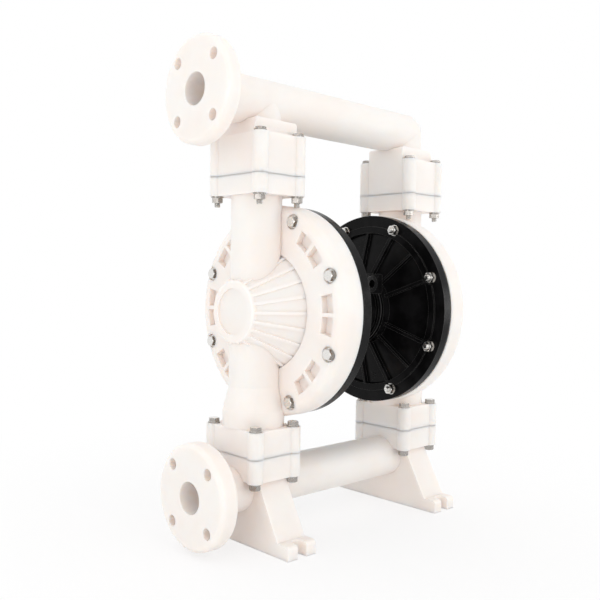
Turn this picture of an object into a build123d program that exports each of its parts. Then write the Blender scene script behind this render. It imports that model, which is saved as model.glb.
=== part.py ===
from build123d import *

from math import cos, radians, sin, sqrt
import os

# Air operated double diaphragm pump with 2 inch flanged ports. The two fluid
# covers and the two manifolds are moulded in polypropylene. The air chambers
# and the centre block are black painted aluminium castings.
#
# Millimetres. X runs along the pump axis, with the inlet and outlet flanges at
# the -X end. Z is up and the feet stand on Z = 0. The origin lies on the floor,
# midway between the two feet. The air inlet faces -Y and the air valve is on
# the +Y side.

os.makedirs("parts", exist_ok=True)

# ---------------------------------------------------------------- clearances
bolt_clearance = 0.5        # radial, bolt shank in its hole
thread_clearance = 0.05     # radial, nut on its bolt
running_clearance = 0.05    # radial, sliding shafts in bushes and seals
seat_clearance = 0.3        # radial, loose rings in their recesses
stop_clearance = 0.3        # between a moving piece and its end stop

# ------------------------------------------------------------- main distances
port_spacing = 365.0        # riser axis to riser axis, along X
pump_axis_height = 370.0    # pump axis above the floor
upper_joint_rise = 215.0    # pump axis up to the discharge joint face
lower_joint_drop = 225.5    # pump axis down to the suction joint face
upper_pipe_rise = 334.5     # pump axis up to the discharge pipe axis
lower_pipe_drop = 281.5     # pump axis down to the suction pipe axis

# --------------------------------------------------------------- pipe flanges
pipe_radius = 37.5
riser_radius = 37.0
riser_bore_radius = 24.0
pipe_bore_radius = 25.0
end_flange_face = 308.0     # flange face from the middle plane, along -X
end_flange_radius = 82.5
upper_end_flange_thickness = 26.0
lower_end_flange_thickness = 32.0
end_flange_round = 8.0
end_flange_pcd = 125.0
end_flange_hole_radius = 9.0
end_flange_hole_count = 4
end_flange_hole_start = 45.0

# ---------------------------------------------------------- bolted port joints
joint_bolt_x = 39.5         # half spacing of the four joint bolts
joint_bolt_y = 52.0
joint_lobe_radius = 12.5
joint_body_x = 47.0         # half size of the flange between its lobes
joint_body_y = 59.0
joint_body_round = 5.0
upper_boss_height = 63.0    # manifold bosses above the discharge joint
lower_boss_height = 37.5    # manifold bosses below the suction joint
cover_top_flange = 31.0     # cover flange at the discharge joint
cover_foot_flange = 42.0    # cover flange at the suction joint
neck_half_width = 41.0       # neck between the bosses and the discharge pipe
neck_height = 24.0
neck_outer_reach = 46.0
neck_top_reach = 37.0
neck_round = 5.0

# ------------------------------------------------------------ ball check valves
ball_radius = 28.0
ball_lift = 14.0
seat_outer_radius = 41.0
seat_bore_radius = 21.0
seat_thickness = 12.0
seat_bevel = 4.0
seat_gasket_thickness = 2.5
seat_gasket_width = 9.0
ball_chamber_radius = 36.0
cage_rib_width = 7.0
cage_rib_clearance = 0.6
cage_stop_radius = 20.0     # inner reach of the lugs that stop the ball
cage_stop_thickness = 8.0
cage_rib_count = 4
cage_rib_start = 45.0       # degrees

# ---------------------------------------------------------------- fluid covers
cover_radius = 173.0
cover_edge_round = 16.0
cover_joint_face = 115.0    # from the middle plane to the diaphragm side
cover_rim_face = 160.0
cover_clamp_radius = 134.0  # inner edge of the clamped ring
cover_wall = 6.0
cover_joint_flare = 18.0    # pumping chamber narrows by this towards the ring band
cover_cone_foot = 97.0      # radius where the ribbed cone starts
cover_cone_step = 6.0       # groove at the foot of the cone
cover_hub_radius = 50.0
cover_hub_face = 230.0
cover_hub_shoulder = 222.0
cover_hub_dish_radius = 37.0
cover_hub_dish_depth = 3.0
cover_hub_round = 4.0
cover_rib_pitch = 16.0      # degrees between ribs, counted from the level one
cover_rib_reach = 5         # ribs on each side of the level one
cover_rib_width = 5.0
cover_rib_height = 5.0      # along the pump axis, above the cone
cover_rib_sink = 3.0        # ribs run on into the hub and the ring band
pocket_inner_radius = 129.0
pocket_outer_radius = 152.0
pocket_depth = 12.0
pocket_start_angle = 1.3    # from the middle of a bolt gap
pocket_end_angle = 12.6
pocket_port_limit = 0.9     # no pockets behind the ports
port_radius = 41.0
port_bore_radius = 30.0
port_bore_start = 35.0      # ports open into the pumping chamber this far off its axis
suction_port_radius = 50.0  # the suction port swells around its ball
suction_swell_top = 120.0   # pump axis down to the start of the swell
suction_swell_foot = 158.0

# ------------------------------------------------------------------- air side
disc_bolt_count = 8
disc_bolt_circle = 155.0
disc_bolt_start = 22.5
diaphragm_thickness = 4.0
diaphragm_radius = 171.0
diaphragm_roll_inner = 74.0
diaphragm_roll_outer = 132.0
diaphragm_roll_height = 11.0
stud_hole_clearance = 0.05
chamber_radius = 172.0
chamber_flange_thickness = 16.0
chamber_ring_outer = 152.0
chamber_ring_inner = 140.0
chamber_ring_height = 3.0
chamber_dish_rim = 97.0     # back of the dish at the ring, from the middle plane
chamber_hub_radius = 66.0
chamber_hub_face = 60.0     # from the middle plane
chamber_floor = 84.0        # from the middle plane
chamber_bore_radius = 30.0
chamber_wall = 7.0
chamber_rib_count = 16
chamber_main_rib_width = 6.0
chamber_minor_rib_width = 4.0
chamber_rib_rise = 8.0
chamber_gasket_thickness = 2.0
hub_screw_circle = 48.0
hub_screw_count = 4
hub_screw_start = 45.0
hub_screw_engagement = 20.0
hub_screw_recess = 9.0

# --------------------------------------------------------------- centre block
drum_radius = 62.0          # end flanges of the drum
drum_waist_radius = 57.0
drum_flange_width = 7.0
spigot_reach = 82.0
spigot_clearance = 0.1
inlet_boss_radius = 14.0
inlet_bore_radius = 7.5
inlet_bore_depth = 22.0
inlet_rise = 47.0           # air inlet above the pump axis
inlet_face = 90.0
inlet_block_width = 72.0
inlet_block_height = 34.0
inlet_block_face = 82.0
block_round = 4.0
valve_pad_face = 76.0
valve_pad_width = 112.0
valve_pad_height = 80.0

# ------------------------------------------------------- rod, plates and pilot
rod_radius = 12.5
rod_stud_radius = 10.0
rod_stud_engagement = 9.0
stroke = 15.0               # each way from the middle
inner_plate_radius = 66.0
inner_plate_thickness = 10.0
inner_plate_chamfer = 4.0
outer_plate_radius = 64.0
outer_plate_thickness = 16.0
outer_plate_chamfer = 8.0
bushing_outer_radius = 16.0
bushing_length = 20.0
rod_seal_outer_radius = 18.0
rod_seal_length = 6.0
pilot_radius = 4.0
pilot_drop = 38.0           # pilot rod below the pump axis
pilot_travel = 4.0
pilot_bush_radius = 7.0
pilot_bush_length = 8.0
pilot_hole_clearance = 0.5

# ------------------------------------------------------------------ air valve
valve_gasket_thickness = 2.0
valve_body_depth = 56.0
valve_body_width = 116.0
valve_body_height = 72.0
valve_bore_radius = 18.0
valve_round = 4.0
valve_cap_thickness = 10.0
valve_cap_height = 60.0
valve_cap_depth = 48.0
spool_travel = 8.0
spool_neck_radius = 9.0
spool_land_radius = 17.5
spool_groove_radius = 15.0
spool_land_width = 12.0
spool_seal_width = 4.0
spool_land_pitch = 28.0
spool_land_count = 4
valve_bolt_x = 36.0
valve_bolt_z = 27.0
valve_bolt_engagement = 16.0
socket_screw_radius = 4.0   # M8
socket_head_radius = 6.5
socket_head_height = 8.0
socket_key_radius = 3.0
socket_key_depth = 4.0
cap_screw_radius = 2.5      # M5
cap_screw_head_radius = 4.75
cap_screw_head_height = 3.0
cap_screw_y = 17.0
cap_screw_z = 23.0
cap_screw_engagement = 10.0
exhaust_bore_radius = 10.0
muffler_radius = 22.0
muffler_length = 56.0
muffler_round = 5.0
muffler_stub_radius = 13.0
muffler_stub_length = 10.0
muffler_stub_engagement = 7.0
muffler_slot_count = 4
muffler_slot_pitch = 10.0
muffler_slot_width = 4.0
muffler_slot_depth = 3.0

# -------------------------------------------------------------------- feet
foot_half_width = 29.0
foot_reach = 119.0
foot_toe_height = 22.0
foot_slope_end = 94.0       # slope meets the toe pad
foot_slope_start = 47.0     # slope meets the boss
foot_round = 6.0
foot_slot_radius = 9.5
foot_slot_centre = 108.5

# ------------------------------------------------------------ M10 fasteners
shank_radius = 5.0
hex_across_flats = 16.0
head_height = 6.4
nut_height = 8.4
washer_radius = 10.0
washer_thickness = 2.0
thread_stub = 5.0           # thread showing beyond each nut
spot_face_radius = 12.0
spot_face_depth = 5.0

# -------------------------------------------------------------- derived values
riser_x = port_spacing / 2
upper_joint_z = pump_axis_height + upper_joint_rise
lower_joint_z = pump_axis_height - lower_joint_drop
upper_pipe_z = pump_axis_height + upper_pipe_rise
lower_pipe_z = pump_axis_height - lower_pipe_drop
upper_boss_top = upper_joint_z + upper_boss_height
lower_boss_foot = lower_joint_z - lower_boss_height
cover_top_foot = upper_joint_z - cover_top_flange
cover_foot_top = lower_joint_z + cover_foot_flange
chamber_face = cover_joint_face - diaphragm_thickness
chamber_back = chamber_face - chamber_flange_thickness
disc_hole_radius = shank_radius + bolt_clearance
disc_spot_face = cover_rim_face - spot_face_depth
clear_ball_radius = ball_radius + stop_clearance
ball_rise = sqrt(clear_ball_radius**2 - seat_bore_radius**2) - seat_bevel   # above the seat's top
stop_rise = ball_rise + ball_lift + sqrt(clear_ball_radius**2 - cage_stop_radius**2)
cage_height = stop_rise + cage_stop_thickness
cage_rib_reach = ball_radius + cage_rib_clearance
seat_recess_depth = seat_thickness + seat_gasket_thickness
plate_inner_face = chamber_face - inner_plate_thickness
pilot_tip = plate_inner_face - stroke + pilot_travel - stop_clearance
centre_reach = chamber_hub_face - chamber_gasket_thickness
valve_face = valve_pad_face + valve_gasket_thickness
valve_axis_y = valve_face + valve_body_depth / 2
PUMP_AXIS = Axis((0, 0, pump_axis_height), (1, 0, 0))
PROFILE = Plane.XY.offset(pump_axis_height)     # local y is the radius about the pump axis


def radial_plane(angle):
    """Plane holding the pump axis: local x along X, local y outwards, 0 facing -Y and 90 up."""
    normal = (0, -sin(radians(angle)), -cos(radians(angle)))
    return Plane(origin=(0, 0, pump_axis_height), x_dir=(1, 0, 0), z_dir=normal)


def axial_plane(x, facing=1):
    """Plane square to the pump axis at x, facing +X or -X, with local y upwards."""
    return Plane(origin=(x, 0, pump_axis_height), x_dir=(0, facing, 0), z_dir=(facing, 0, 0))


def side_plane(y, z=pump_axis_height, facing=1):
    """Plane square to Y at y, facing +Y or -Y, with local y upwards."""
    return Plane(origin=(0, y, z), x_dir=(-facing, 0, 0), z_dir=(0, facing, 0))


def profile(plane, points, rounded=()):
    """Closed sketch through points on a plane, with (corner, radius) pairs rounded."""
    with BuildSketch(plane) as sketch:
        with BuildLine():
            Polyline(*points, close=True)
        make_face()
        for corner, radius in rounded:
            near = [v for v in sketch.vertices() if abs(v.X - corner[0]) + abs(v.Y - corner[1]) < 1e-3]
            fillet(near, radius)
    return sketch.sketch


def disc_bolts():
    """The eight places of the clamp bolts on an axial plane."""
    return PolarLocations(disc_bolt_circle, disc_bolt_count, disc_bolt_start)


def joint_bolts():
    """The four places of the joint bolts about a riser axis."""
    return GridLocations(2 * joint_bolt_x, 2 * joint_bolt_y, 2, 2)


def riser_bore(x, radius, z_from, z_to, mode=Mode.SUBTRACT):
    """Upright cylinder about a riser axis, cut out by default."""
    with BuildSketch(Plane.XY.offset(z_from)) as face:
        with Locations((x, 0)):
            Circle(radius)
    extrude(face.sketch, amount=z_to - z_from, mode=mode)


def joint_block(x, z_from, z_to):
    """Bolted port flange between two heights: a rounded rectangle with four bolt lobes."""
    with BuildSketch(Plane.XY.offset(z_from)) as face:
        with Locations((x, 0)):
            RectangleRounded(2 * joint_body_x, 2 * joint_body_y, joint_body_round)
            with joint_bolts():
                Circle(joint_lobe_radius)
    extrude(face.sketch, amount=z_to - z_from)


def joint_bolt_holes(x, z_from, z_to):
    """Clearance holes of the four joint bolts."""
    with BuildSketch(Plane.XY.offset(z_from)) as face:
        with Locations((x, 0)):
            with joint_bolts():
                Circle(shank_radius + bolt_clearance)
    extrude(face.sketch, amount=z_to - z_from, mode=Mode.SUBTRACT)


def caged_chamber(x, joint_z):
    """Cut a ball chamber above a joint, leaving its guide ribs and stop lugs standing."""
    for z_from, z_to, reach in (
        (0, stop_rise, ball_radius + cage_rib_clearance),
        (stop_rise, cage_height, cage_stop_radius),
    ):
        with BuildSketch(Plane.XY.offset(joint_z + z_from)) as face:
            with Locations((x, 0)):
                Circle(ball_chamber_radius)
                with PolarLocations(reach + ball_chamber_radius / 2, cage_rib_count, cage_rib_start):
                    Rectangle(ball_chamber_radius, cage_rib_width, mode=Mode.SUBTRACT)
        extrude(face.sketch, amount=z_to - z_from, mode=Mode.SUBTRACT)


def end_flange(z, thickness):
    """Round pipe flange at the -X end of a manifold."""
    disc = profile(
        Plane(origin=(-end_flange_face, 0, z), x_dir=(1, 0, 0), z_dir=(0, -1, 0)),
        [(0, 0), (0, end_flange_radius), (thickness, end_flange_radius), (thickness, 0)],
        [((0, end_flange_radius), end_flange_round), ((thickness, end_flange_radius), end_flange_round)],
    )
    revolve(disc, axis=Axis((0, 0, z), (1, 0, 0)))


def pipe(z, radius, mode=Mode.ADD):
    """Cross pipe from the end flange to the far riser, closed by a rounded elbow."""
    with BuildSketch(Plane(origin=(-end_flange_face, 0, z), x_dir=(0, 1, 0), z_dir=(1, 0, 0))) as face:
        Circle(radius)
    extrude(face.sketch, amount=end_flange_face + riser_x, mode=mode)
    with Locations((riser_x, 0, z)):
        Sphere(radius, mode=mode)


def end_flange_holes(z, thickness):
    """Bolt holes of a pipe flange."""
    with BuildSketch(Plane(origin=(-end_flange_face, 0, z), x_dir=(0, 1, 0), z_dir=(1, 0, 0))) as face:
        with PolarLocations(end_flange_pcd / 2, end_flange_hole_count, end_flange_hole_start):
            Circle(end_flange_hole_radius)
    extrude(face.sketch, amount=thickness, mode=Mode.SUBTRACT)


# ------------------------------------------------------------------ manifolds
with BuildPart() as upper_manifold:
    pipe(upper_pipe_z, pipe_radius)
    end_flange(upper_pipe_z, upper_end_flange_thickness)
    for side in (-1, 1):
        riser = side * riser_x
        inward = -side
        riser_bore(riser, riser_radius, upper_boss_top, upper_pipe_z, Mode.ADD)
        joint_block(riser, upper_joint_z, upper_boss_top)
        neck_top = upper_boss_top + neck_height
        shape = profile(
            Plane.XZ,
            [
                (riser + inward * joint_body_x, upper_boss_top),
                (riser + inward * joint_body_x, neck_top),
                (riser - inward * neck_top_reach, neck_top),
                (riser - inward * neck_outer_reach, upper_boss_top),
            ],
            [((riser + inward * joint_body_x, neck_top), neck_round)],
        )
        extrude(shape, amount=neck_half_width, both=True)
    end_flange_holes(upper_pipe_z, upper_end_flange_thickness)
    pipe(upper_pipe_z, pipe_bore_radius, Mode.SUBTRACT)
    for side in (-1, 1):
        caged_chamber(side * riser_x, upper_joint_z)
        riser_bore(side * riser_x, riser_bore_radius, upper_joint_z + cage_height, upper_pipe_z)
        joint_bolt_holes(side * riser_x, upper_joint_z, upper_boss_top)

with BuildPart() as lower_manifold:
    pipe(lower_pipe_z, pipe_radius)
    end_flange(lower_pipe_z, lower_end_flange_thickness)
    for side in (-1, 1):
        riser = side * riser_x
        joint_block(riser, lower_boss_foot, lower_joint_z)
        foot_edge = [
            (foot_reach, 0),
            (foot_reach, foot_toe_height),
            (foot_slope_end, foot_toe_height),
            (foot_slope_start, lower_boss_foot),
        ]
        shape = profile(
            Plane(origin=(riser, 0, 0), x_dir=(0, 1, 0), z_dir=(1, 0, 0)),
            foot_edge + [(-y, z) for y, z in reversed(foot_edge)],
            [((edge * foot_reach, foot_toe_height), foot_round) for edge in (-1, 1)],
        )
        extrude(shape, amount=foot_half_width, both=True)
        with BuildSketch(Plane.XY):
            with Locations((riser, 0)):
                for edge in (-1, 1):
                    with Locations((0, edge * foot_slot_centre)):
                        Circle(foot_slot_radius)
                    with Locations((0, edge * (foot_slot_centre + foot_reach) / 2)):
                        Rectangle(2 * foot_slot_radius, foot_reach - foot_slot_centre)
        extrude(amount=foot_toe_height, mode=Mode.SUBTRACT)
    end_flange_holes(lower_pipe_z, lower_end_flange_thickness)
    pipe(lower_pipe_z, pipe_bore_radius, Mode.SUBTRACT)
    for side in (-1, 1):
        seat_floor = lower_joint_z - seat_recess_depth
        riser_bore(side * riser_x, riser_bore_radius, lower_pipe_z, seat_floor)
        riser_bore(side * riser_x, seat_outer_radius + seat_clearance, seat_floor, lower_joint_z)
        joint_bolt_holes(side * riser_x, lower_boss_foot, lower_joint_z)

# ---------------------------------------------------------------- fluid covers
cone_foot = cover_rim_face - cover_cone_step
cavity_face = cone_foot - cover_wall
with BuildPart() as right_fluid_cover:
    shape = profile(
        PROFILE,
        [
            (cover_joint_face, 0),
            (cover_joint_face, cover_radius),
            (cover_rim_face, cover_radius),
            (cover_rim_face, cover_cone_foot),
            (cone_foot, cover_cone_foot),
            (cover_hub_shoulder, cover_hub_radius),
            (cover_hub_face, cover_hub_radius),
            (cover_hub_face, 0),
        ],
        [
            ((cover_rim_face, cover_radius), cover_edge_round),
            ((cover_hub_face, cover_hub_radius), cover_hub_round),
        ],
    )
    revolve(shape, axis=PUMP_AXIS)
    shape = profile(
        Plane(origin=(riser_x, 0, pump_axis_height), x_dir=(-1, 0, 0), z_dir=(0, 1, 0)),
        [
            (0, cover_top_foot - pump_axis_height),
            (port_radius, cover_top_foot - pump_axis_height),
            (port_radius, -suction_swell_top),
            (suction_port_radius, -suction_swell_foot),
            (suction_port_radius, cover_foot_top - pump_axis_height),
            (0, cover_foot_top - pump_axis_height),
        ],
    )
    revolve(shape, axis=Axis((riser_x, 0, 0), (0, 0, 1)))
    for step in range(-cover_rib_reach, cover_rib_reach + 1):
        for turn in (0, 180):
            shape = profile(
                radial_plane(turn + step * cover_rib_pitch),
                [
                    (cone_foot - cover_wall / 2, cover_cone_foot + cover_rib_sink),
                    (cone_foot + cover_rib_height, cover_cone_foot + cover_rib_sink),
                    (cone_foot + cover_rib_height, cover_cone_foot),
                    (cover_hub_shoulder + cover_rib_height, cover_hub_radius),
                    (cover_hub_shoulder + cover_rib_height, cover_hub_radius - cover_rib_sink),
                    (cover_hub_shoulder - cover_wall / 2, cover_hub_radius - cover_rib_sink),
                ],
            )
            extrude(shape, amount=cover_rib_width / 2, both=True)
    joint_block(riser_x, cover_top_foot, upper_joint_z)
    joint_block(riser_x, lower_joint_z, cover_foot_top)
    with BuildSketch(axial_plane(cover_hub_face - cover_hub_dish_depth)):
        Circle(cover_hub_dish_radius)
    extrude(amount=cover_hub_dish_depth, mode=Mode.SUBTRACT)
    shape = profile(
        PROFILE,
        [
            (cover_joint_face, 0),
            (cover_joint_face, cover_clamp_radius),
            (cavity_face, cover_clamp_radius - cover_joint_flare),
            (cavity_face, cover_cone_foot - cover_wall),
            (cover_hub_shoulder - cover_wall, cover_hub_radius - cover_wall),
            (cover_hub_shoulder - cover_wall, 0),
        ],
    )
    revolve(shape, axis=PUMP_AXIS, mode=Mode.SUBTRACT)
    caged_chamber(riser_x, lower_joint_z)
    riser_bore(riser_x, port_bore_radius, lower_joint_z + cage_height, pump_axis_height - port_bore_start)
    riser_bore(riser_x, port_bore_radius, pump_axis_height + port_bore_start, upper_joint_z)
    discharge_seat_floor = upper_joint_z - seat_recess_depth
    riser_bore(riser_x, seat_outer_radius + seat_clearance, discharge_seat_floor, upper_joint_z)
    joint_bolt_holes(riser_x, cover_top_foot, upper_joint_z)
    joint_bolt_holes(riser_x, lower_joint_z, cover_foot_top)
    with BuildSketch(axial_plane(cover_joint_face)):
        with disc_bolts():
            Circle(disc_hole_radius)
    extrude(amount=cover_rim_face - cover_joint_face, mode=Mode.SUBTRACT)
    with BuildSketch(axial_plane(disc_spot_face)):
        with disc_bolts():
            Circle(spot_face_radius)
    extrude(amount=cover_hub_face - disc_spot_face, mode=Mode.SUBTRACT)
    with BuildSketch(axial_plane(cover_rim_face - pocket_depth)):
        for gap in range(disc_bolt_count):
            middle = gap * 360 / disc_bolt_count
            if abs(sin(radians(middle))) < pocket_port_limit:
                for side in (-1, 1):
                    with BuildLine():
                        start = middle + side * pocket_start_angle
                        sweep_angle = side * (pocket_end_angle - pocket_start_angle)
                        inner_arc = CenterArc((0, 0), pocket_inner_radius, start, sweep_angle)
                        outer_arc = CenterArc((0, 0), pocket_outer_radius, start, sweep_angle)
                        Line(inner_arc @ 0, outer_arc @ 0)
                        Line(inner_arc @ 1, outer_arc @ 1)
                    make_face()
    extrude(amount=cover_hub_face - cover_rim_face, mode=Mode.SUBTRACT)

with BuildPart() as left_fluid_cover:
    mirror(right_fluid_cover.part, about=Plane.YZ)

# ---------------------------------------------------------------- air chambers
dish_back = chamber_floor - chamber_wall
with BuildPart() as right_air_chamber:
    shape = profile(
        PROFILE,
        [
            (chamber_face, chamber_radius),
            (chamber_back, chamber_radius),
            (chamber_back, chamber_ring_outer),
            (chamber_back - chamber_ring_height, chamber_ring_outer),
            (chamber_back - chamber_ring_height, chamber_ring_inner),
            (chamber_dish_rim, chamber_ring_inner),
            (dish_back, chamber_hub_radius),
            (chamber_hub_face, chamber_hub_radius),
            (chamber_hub_face, chamber_bore_radius),
            (chamber_floor, chamber_bore_radius),
            (chamber_floor, chamber_hub_radius),
            (chamber_dish_rim + chamber_wall, cover_clamp_radius),
            (chamber_face, cover_clamp_radius),
        ],
    )
    revolve(shape, axis=PUMP_AXIS)
    for spoke in range(chamber_rib_count):
        angle = spoke * 360 / chamber_rib_count
        if sin(radians(angle)) ** 2 > 1e-6:
            width = chamber_main_rib_width if spoke % 2 else chamber_minor_rib_width
            shape = profile(
                radial_plane(angle),
                [
                    (chamber_dish_rim + chamber_wall / 2, chamber_ring_inner),
                    (chamber_dish_rim - chamber_rib_rise, chamber_ring_inner),
                    (dish_back - chamber_rib_rise, chamber_hub_radius),
                    (dish_back + chamber_wall / 2, chamber_hub_radius),
                ],
            )
            extrude(shape, amount=width / 2, both=True)
    with BuildSketch(axial_plane(chamber_back, -1)):
        with disc_bolts():
            Circle(spot_face_radius)
    extrude(amount=chamber_back - chamber_hub_face, mode=Mode.SUBTRACT)
    with BuildSketch(axial_plane(chamber_back)):
        with disc_bolts():
            Circle(disc_hole_radius)
    extrude(amount=chamber_flange_thickness, mode=Mode.SUBTRACT)
    with BuildSketch(axial_plane(chamber_hub_face)):
        with PolarLocations(hub_screw_circle, hub_screw_count, hub_screw_start):
            Circle(socket_screw_radius + bolt_clearance)
        with Locations((0, -pilot_drop)):
            Circle(pilot_radius + pilot_hole_clearance)
    extrude(amount=chamber_floor - chamber_hub_face, mode=Mode.SUBTRACT)
    with BuildSketch(axial_plane(chamber_floor, -1)):
        with PolarLocations(hub_screw_circle, hub_screw_count, hub_screw_start):
            Circle(socket_head_radius + bolt_clearance)
    extrude(amount=hub_screw_recess, mode=Mode.SUBTRACT)

with BuildPart() as left_air_chamber:
    mirror(right_air_chamber.part, about=Plane.YZ)

with BuildPart() as chamber_gaskets:
    with BuildSketch(axial_plane(centre_reach)):
        Circle(drum_radius)
        Circle(chamber_bore_radius, mode=Mode.SUBTRACT)
        with PolarLocations(hub_screw_circle, hub_screw_count, hub_screw_start):
            Circle(socket_screw_radius + bolt_clearance, mode=Mode.SUBTRACT)
        with Locations((0, -pilot_drop)):
            Circle(pilot_radius + pilot_hole_clearance, mode=Mode.SUBTRACT)
    extrude(amount=chamber_gasket_thickness)
    mirror(about=Plane.YZ)

# ---------------------------------------------------------------- centre block
with BuildPart() as centre_block:
    shape = profile(
        PROFILE,
        [
            (-centre_reach, 0),
            (-centre_reach, drum_radius),
            (-centre_reach + drum_flange_width, drum_radius),
            (-centre_reach + drum_flange_width, drum_waist_radius),
            (centre_reach - drum_flange_width, drum_waist_radius),
            (centre_reach - drum_flange_width, drum_radius),
            (centre_reach, drum_radius),
            (centre_reach, 0),
        ],
    )
    revolve(shape, axis=PUMP_AXIS)
    with BuildSketch(axial_plane(-spigot_reach)):
        Circle(chamber_bore_radius - spigot_clearance)
    extrude(amount=2 * spigot_reach)
    with BuildSketch(side_plane(0, pump_axis_height + inlet_rise, -1)):
        RectangleRounded(inlet_block_width, inlet_block_height, block_round)
    extrude(amount=inlet_block_face)
    with BuildSketch(side_plane(0, pump_axis_height + inlet_rise, -1)):
        Circle(inlet_boss_radius)
    extrude(amount=inlet_face)
    with BuildSketch(side_plane(0)):
        RectangleRounded(valve_pad_width, valve_pad_height, block_round)
    extrude(amount=valve_pad_face)
    with BuildSketch(side_plane(-inlet_face, pump_axis_height + inlet_rise)):
        Circle(inlet_bore_radius)
    extrude(amount=inlet_bore_depth, mode=Mode.SUBTRACT)
    with BuildSketch(axial_plane(-spigot_reach)):
        Circle(rod_radius + bolt_clearance)
        with Locations((0, -pilot_drop)):
            Circle(pilot_radius + pilot_hole_clearance)
    extrude(amount=2 * spigot_reach, mode=Mode.SUBTRACT)
    for side in (-1, 1):
        with BuildSketch(axial_plane(side * spigot_reach, -side)):
            Circle(rod_seal_outer_radius)
        extrude(amount=rod_seal_length, mode=Mode.SUBTRACT)
        with BuildSketch(axial_plane(side * (spigot_reach - rod_seal_length), -side)):
            Circle(bushing_outer_radius)
        extrude(amount=bushing_length, mode=Mode.SUBTRACT)
        with BuildSketch(axial_plane(side * centre_reach, -side)):
            with Locations((0, -pilot_drop)):
                Circle(pilot_bush_radius)
        extrude(amount=pilot_bush_length, mode=Mode.SUBTRACT)
        with BuildSketch(axial_plane(side * centre_reach, -side)):
            with PolarLocations(hub_screw_circle, hub_screw_count, hub_screw_start):
                Circle(socket_screw_radius + thread_clearance)
        extrude(amount=hub_screw_engagement, mode=Mode.SUBTRACT)
    with BuildSketch(side_plane(valve_pad_face, facing=-1)):
        with GridLocations(2 * valve_bolt_x, 2 * valve_bolt_z, 2, 2):
            Circle(socket_screw_radius + thread_clearance)
    extrude(amount=valve_bolt_engagement, mode=Mode.SUBTRACT)

with BuildPart() as rod_bushings:
    with BuildSketch(axial_plane(spigot_reach - rod_seal_length, -1)):
        Circle(bushing_outer_radius)
        Circle(rod_radius + running_clearance, mode=Mode.SUBTRACT)
    extrude(amount=bushing_length)
    mirror(about=Plane.YZ)

with BuildPart() as rod_seals:
    with BuildSketch(axial_plane(spigot_reach, -1)):
        Circle(rod_seal_outer_radius)
        Circle(rod_radius + running_clearance, mode=Mode.SUBTRACT)
    extrude(amount=rod_seal_length)
    mirror(about=Plane.YZ)

with BuildPart() as pilot_bushes:
    with BuildSketch(axial_plane(centre_reach, -1)):
        with Locations((0, -pilot_drop)):
            Circle(pilot_bush_radius)
            Circle(pilot_radius + running_clearance, mode=Mode.SUBTRACT)
    extrude(amount=pilot_bush_length)
    mirror(about=Plane.YZ)

# ------------------------------------------------- rod, diaphragms and plates
stud_reach = cover_joint_face + rod_stud_engagement
with BuildPart() as diaphragm_rod:
    shape = profile(
        PROFILE,
        [
            (-stud_reach, 0),
            (-stud_reach, rod_stud_radius),
            (-plate_inner_face, rod_stud_radius),
            (-plate_inner_face, rod_radius),
            (plate_inner_face, rod_radius),
            (plate_inner_face, rod_stud_radius),
            (stud_reach, rod_stud_radius),
            (stud_reach, 0),
        ],
    )
    revolve(shape, axis=PUMP_AXIS)

stud_hole_radius = rod_stud_radius + stud_hole_clearance
with BuildPart() as right_inner_plate:
    with BuildSketch(axial_plane(plate_inner_face)):
        Circle(inner_plate_radius)
        Circle(stud_hole_radius, mode=Mode.SUBTRACT)
    extrude(amount=inner_plate_thickness)
    chamfer(right_inner_plate.edges().filter_by(GeomType.CIRCLE).sort_by(Axis.X)[0:2].sort_by(
        SortBy.RADIUS)[-1], inner_plate_chamfer)

with BuildPart() as left_inner_plate:
    mirror(right_inner_plate.part, about=Plane.YZ)

with BuildPart() as right_diaphragm:
    roll_middle = (diaphragm_roll_inner + diaphragm_roll_outer) / 2
    with BuildSketch(PROFILE):
        with BuildLine():
            for face in (chamber_face, cover_joint_face):
                Line((face, stud_hole_radius), (face, diaphragm_roll_inner))
                ThreePointArc(
                    (face, diaphragm_roll_inner),
                    (face + diaphragm_roll_height, roll_middle),
                    (face, diaphragm_roll_outer),
                )
                Line((face, diaphragm_roll_outer), (face, diaphragm_radius))
            for radius in (stud_hole_radius, diaphragm_radius):
                Line((chamber_face, radius), (cover_joint_face, radius))
        make_face()
    revolve(axis=PUMP_AXIS)
    with BuildSketch(axial_plane(chamber_face)):
        with disc_bolts():
            Circle(disc_hole_radius)
    extrude(amount=diaphragm_thickness, mode=Mode.SUBTRACT)

with BuildPart() as left_diaphragm:
    mirror(right_diaphragm.part, about=Plane.YZ)

outer_plate_face = cover_joint_face + outer_plate_thickness
with BuildPart() as right_outer_plate:
    shape = profile(
        PROFILE,
        [
            (cover_joint_face, stud_hole_radius),
            (cover_joint_face, outer_plate_radius),
            (outer_plate_face - outer_plate_chamfer, outer_plate_radius),
            (outer_plate_face, outer_plate_radius - outer_plate_chamfer),
            (outer_plate_face, 0),
            (stud_reach + stop_clearance, 0),
            (stud_reach + stop_clearance, stud_hole_radius),
        ],
    )
    revolve(shape, axis=PUMP_AXIS)

with BuildPart() as left_outer_plate:
    mirror(right_outer_plate.part, about=Plane.YZ)

with BuildPart() as pilot_pin:
    with BuildSketch(axial_plane(-pilot_tip)):
        with Locations((0, -pilot_drop)):
            Circle(pilot_radius)
    extrude(amount=2 * pilot_tip)

# ------------------------------------------------------------ ball check valves
def valve_seats(joint_z):
    """Seat rings of both sides, flush with a joint face."""
    for side in (-1, 1):
        shape = profile(
            Plane(origin=(side * riser_x, 0, joint_z), x_dir=(1, 0, 0), z_dir=(0, -1, 0)),
            [
                (seat_bore_radius, -seat_thickness),
                (seat_outer_radius, -seat_thickness),
                (seat_outer_radius, 0),
                (seat_bore_radius + seat_bevel, 0),
                (seat_bore_radius, -seat_bevel),
            ],
        )
        revolve(shape, axis=Axis((side * riser_x, 0, 0), (0, 0, 1)))


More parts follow.
